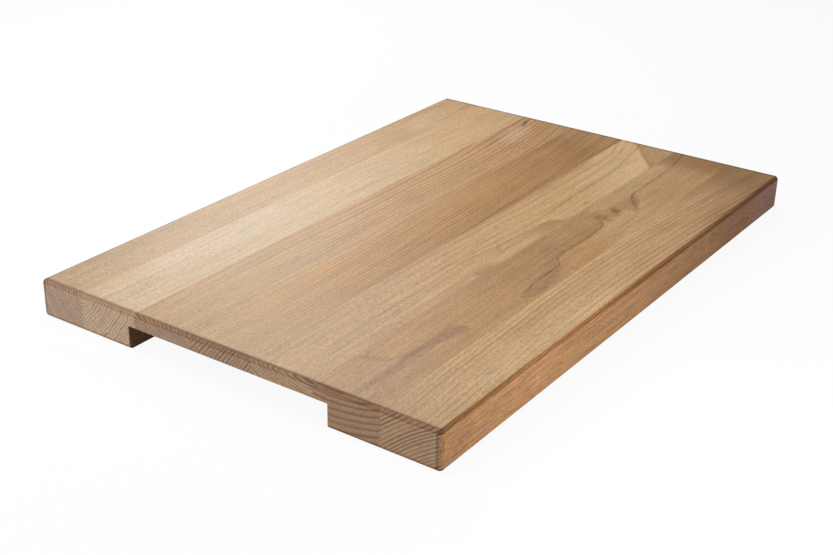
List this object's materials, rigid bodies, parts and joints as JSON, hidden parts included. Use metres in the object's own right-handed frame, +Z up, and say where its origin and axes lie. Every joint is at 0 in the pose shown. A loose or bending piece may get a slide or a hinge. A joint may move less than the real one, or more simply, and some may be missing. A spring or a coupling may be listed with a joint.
{
  "type": "cutting board",
  "caption": "Rectangular wooden cutting board glued up from staves, with rounded edges and a shallow full-length channel underneath that leaves a runner along each side.",
  "frame": {"origin": "on the surface that the board stands on, under the middle of the board", "axes": "+X across the staves to the right as seen from the front end, +Y along the grain towards the back end, +Z up"},
  "size_m": [0.4, 0.6, 0.034],
  "materials": {
    "pink_tan_wood": "planed, sanded and oiled, pinkish tan with fine straight grain",
    "cream_wood": "planed, sanded and oiled, pale cream with faint grain",
    "tan_wood": "planed, sanded and oiled, medium tan with straight lines",
    "red_brown_wood": "planed, sanded and oiled, reddish brown with dark streaks",
    "golden_wood": "planed, sanded and oiled, golden with long wavy lines",
    "heart_wood": "planed, sanded and oiled, grey-brown heartwood with dark zone lines",
    "ribbed_wood": "planed, sanded and oiled, tan with regular ribbed grain",
    "dried_glue": "dried wood glue, sanded flush"
  },
  "bodies": {
    "root": {"left_edge_stave": "pink_tan_wood", "left_runner_stave": "cream_wood", "left_bridge_stave": "tan_wood", "middle_bridge_stave": "red_brown_wood", "right_bridge_stave": "golden_wood", "right_runner_stave": "heart_wood", "right_edge_stave": "ribbed_wood", "glue_line_1": "dried_glue", "glue_line_2": "dried_glue", "glue_line_3": "dried_glue", "glue_line_4": "dried_glue", "glue_line_5": "dried_glue", "glue_line_6": "dried_glue"}
  },
  "joints": []
}
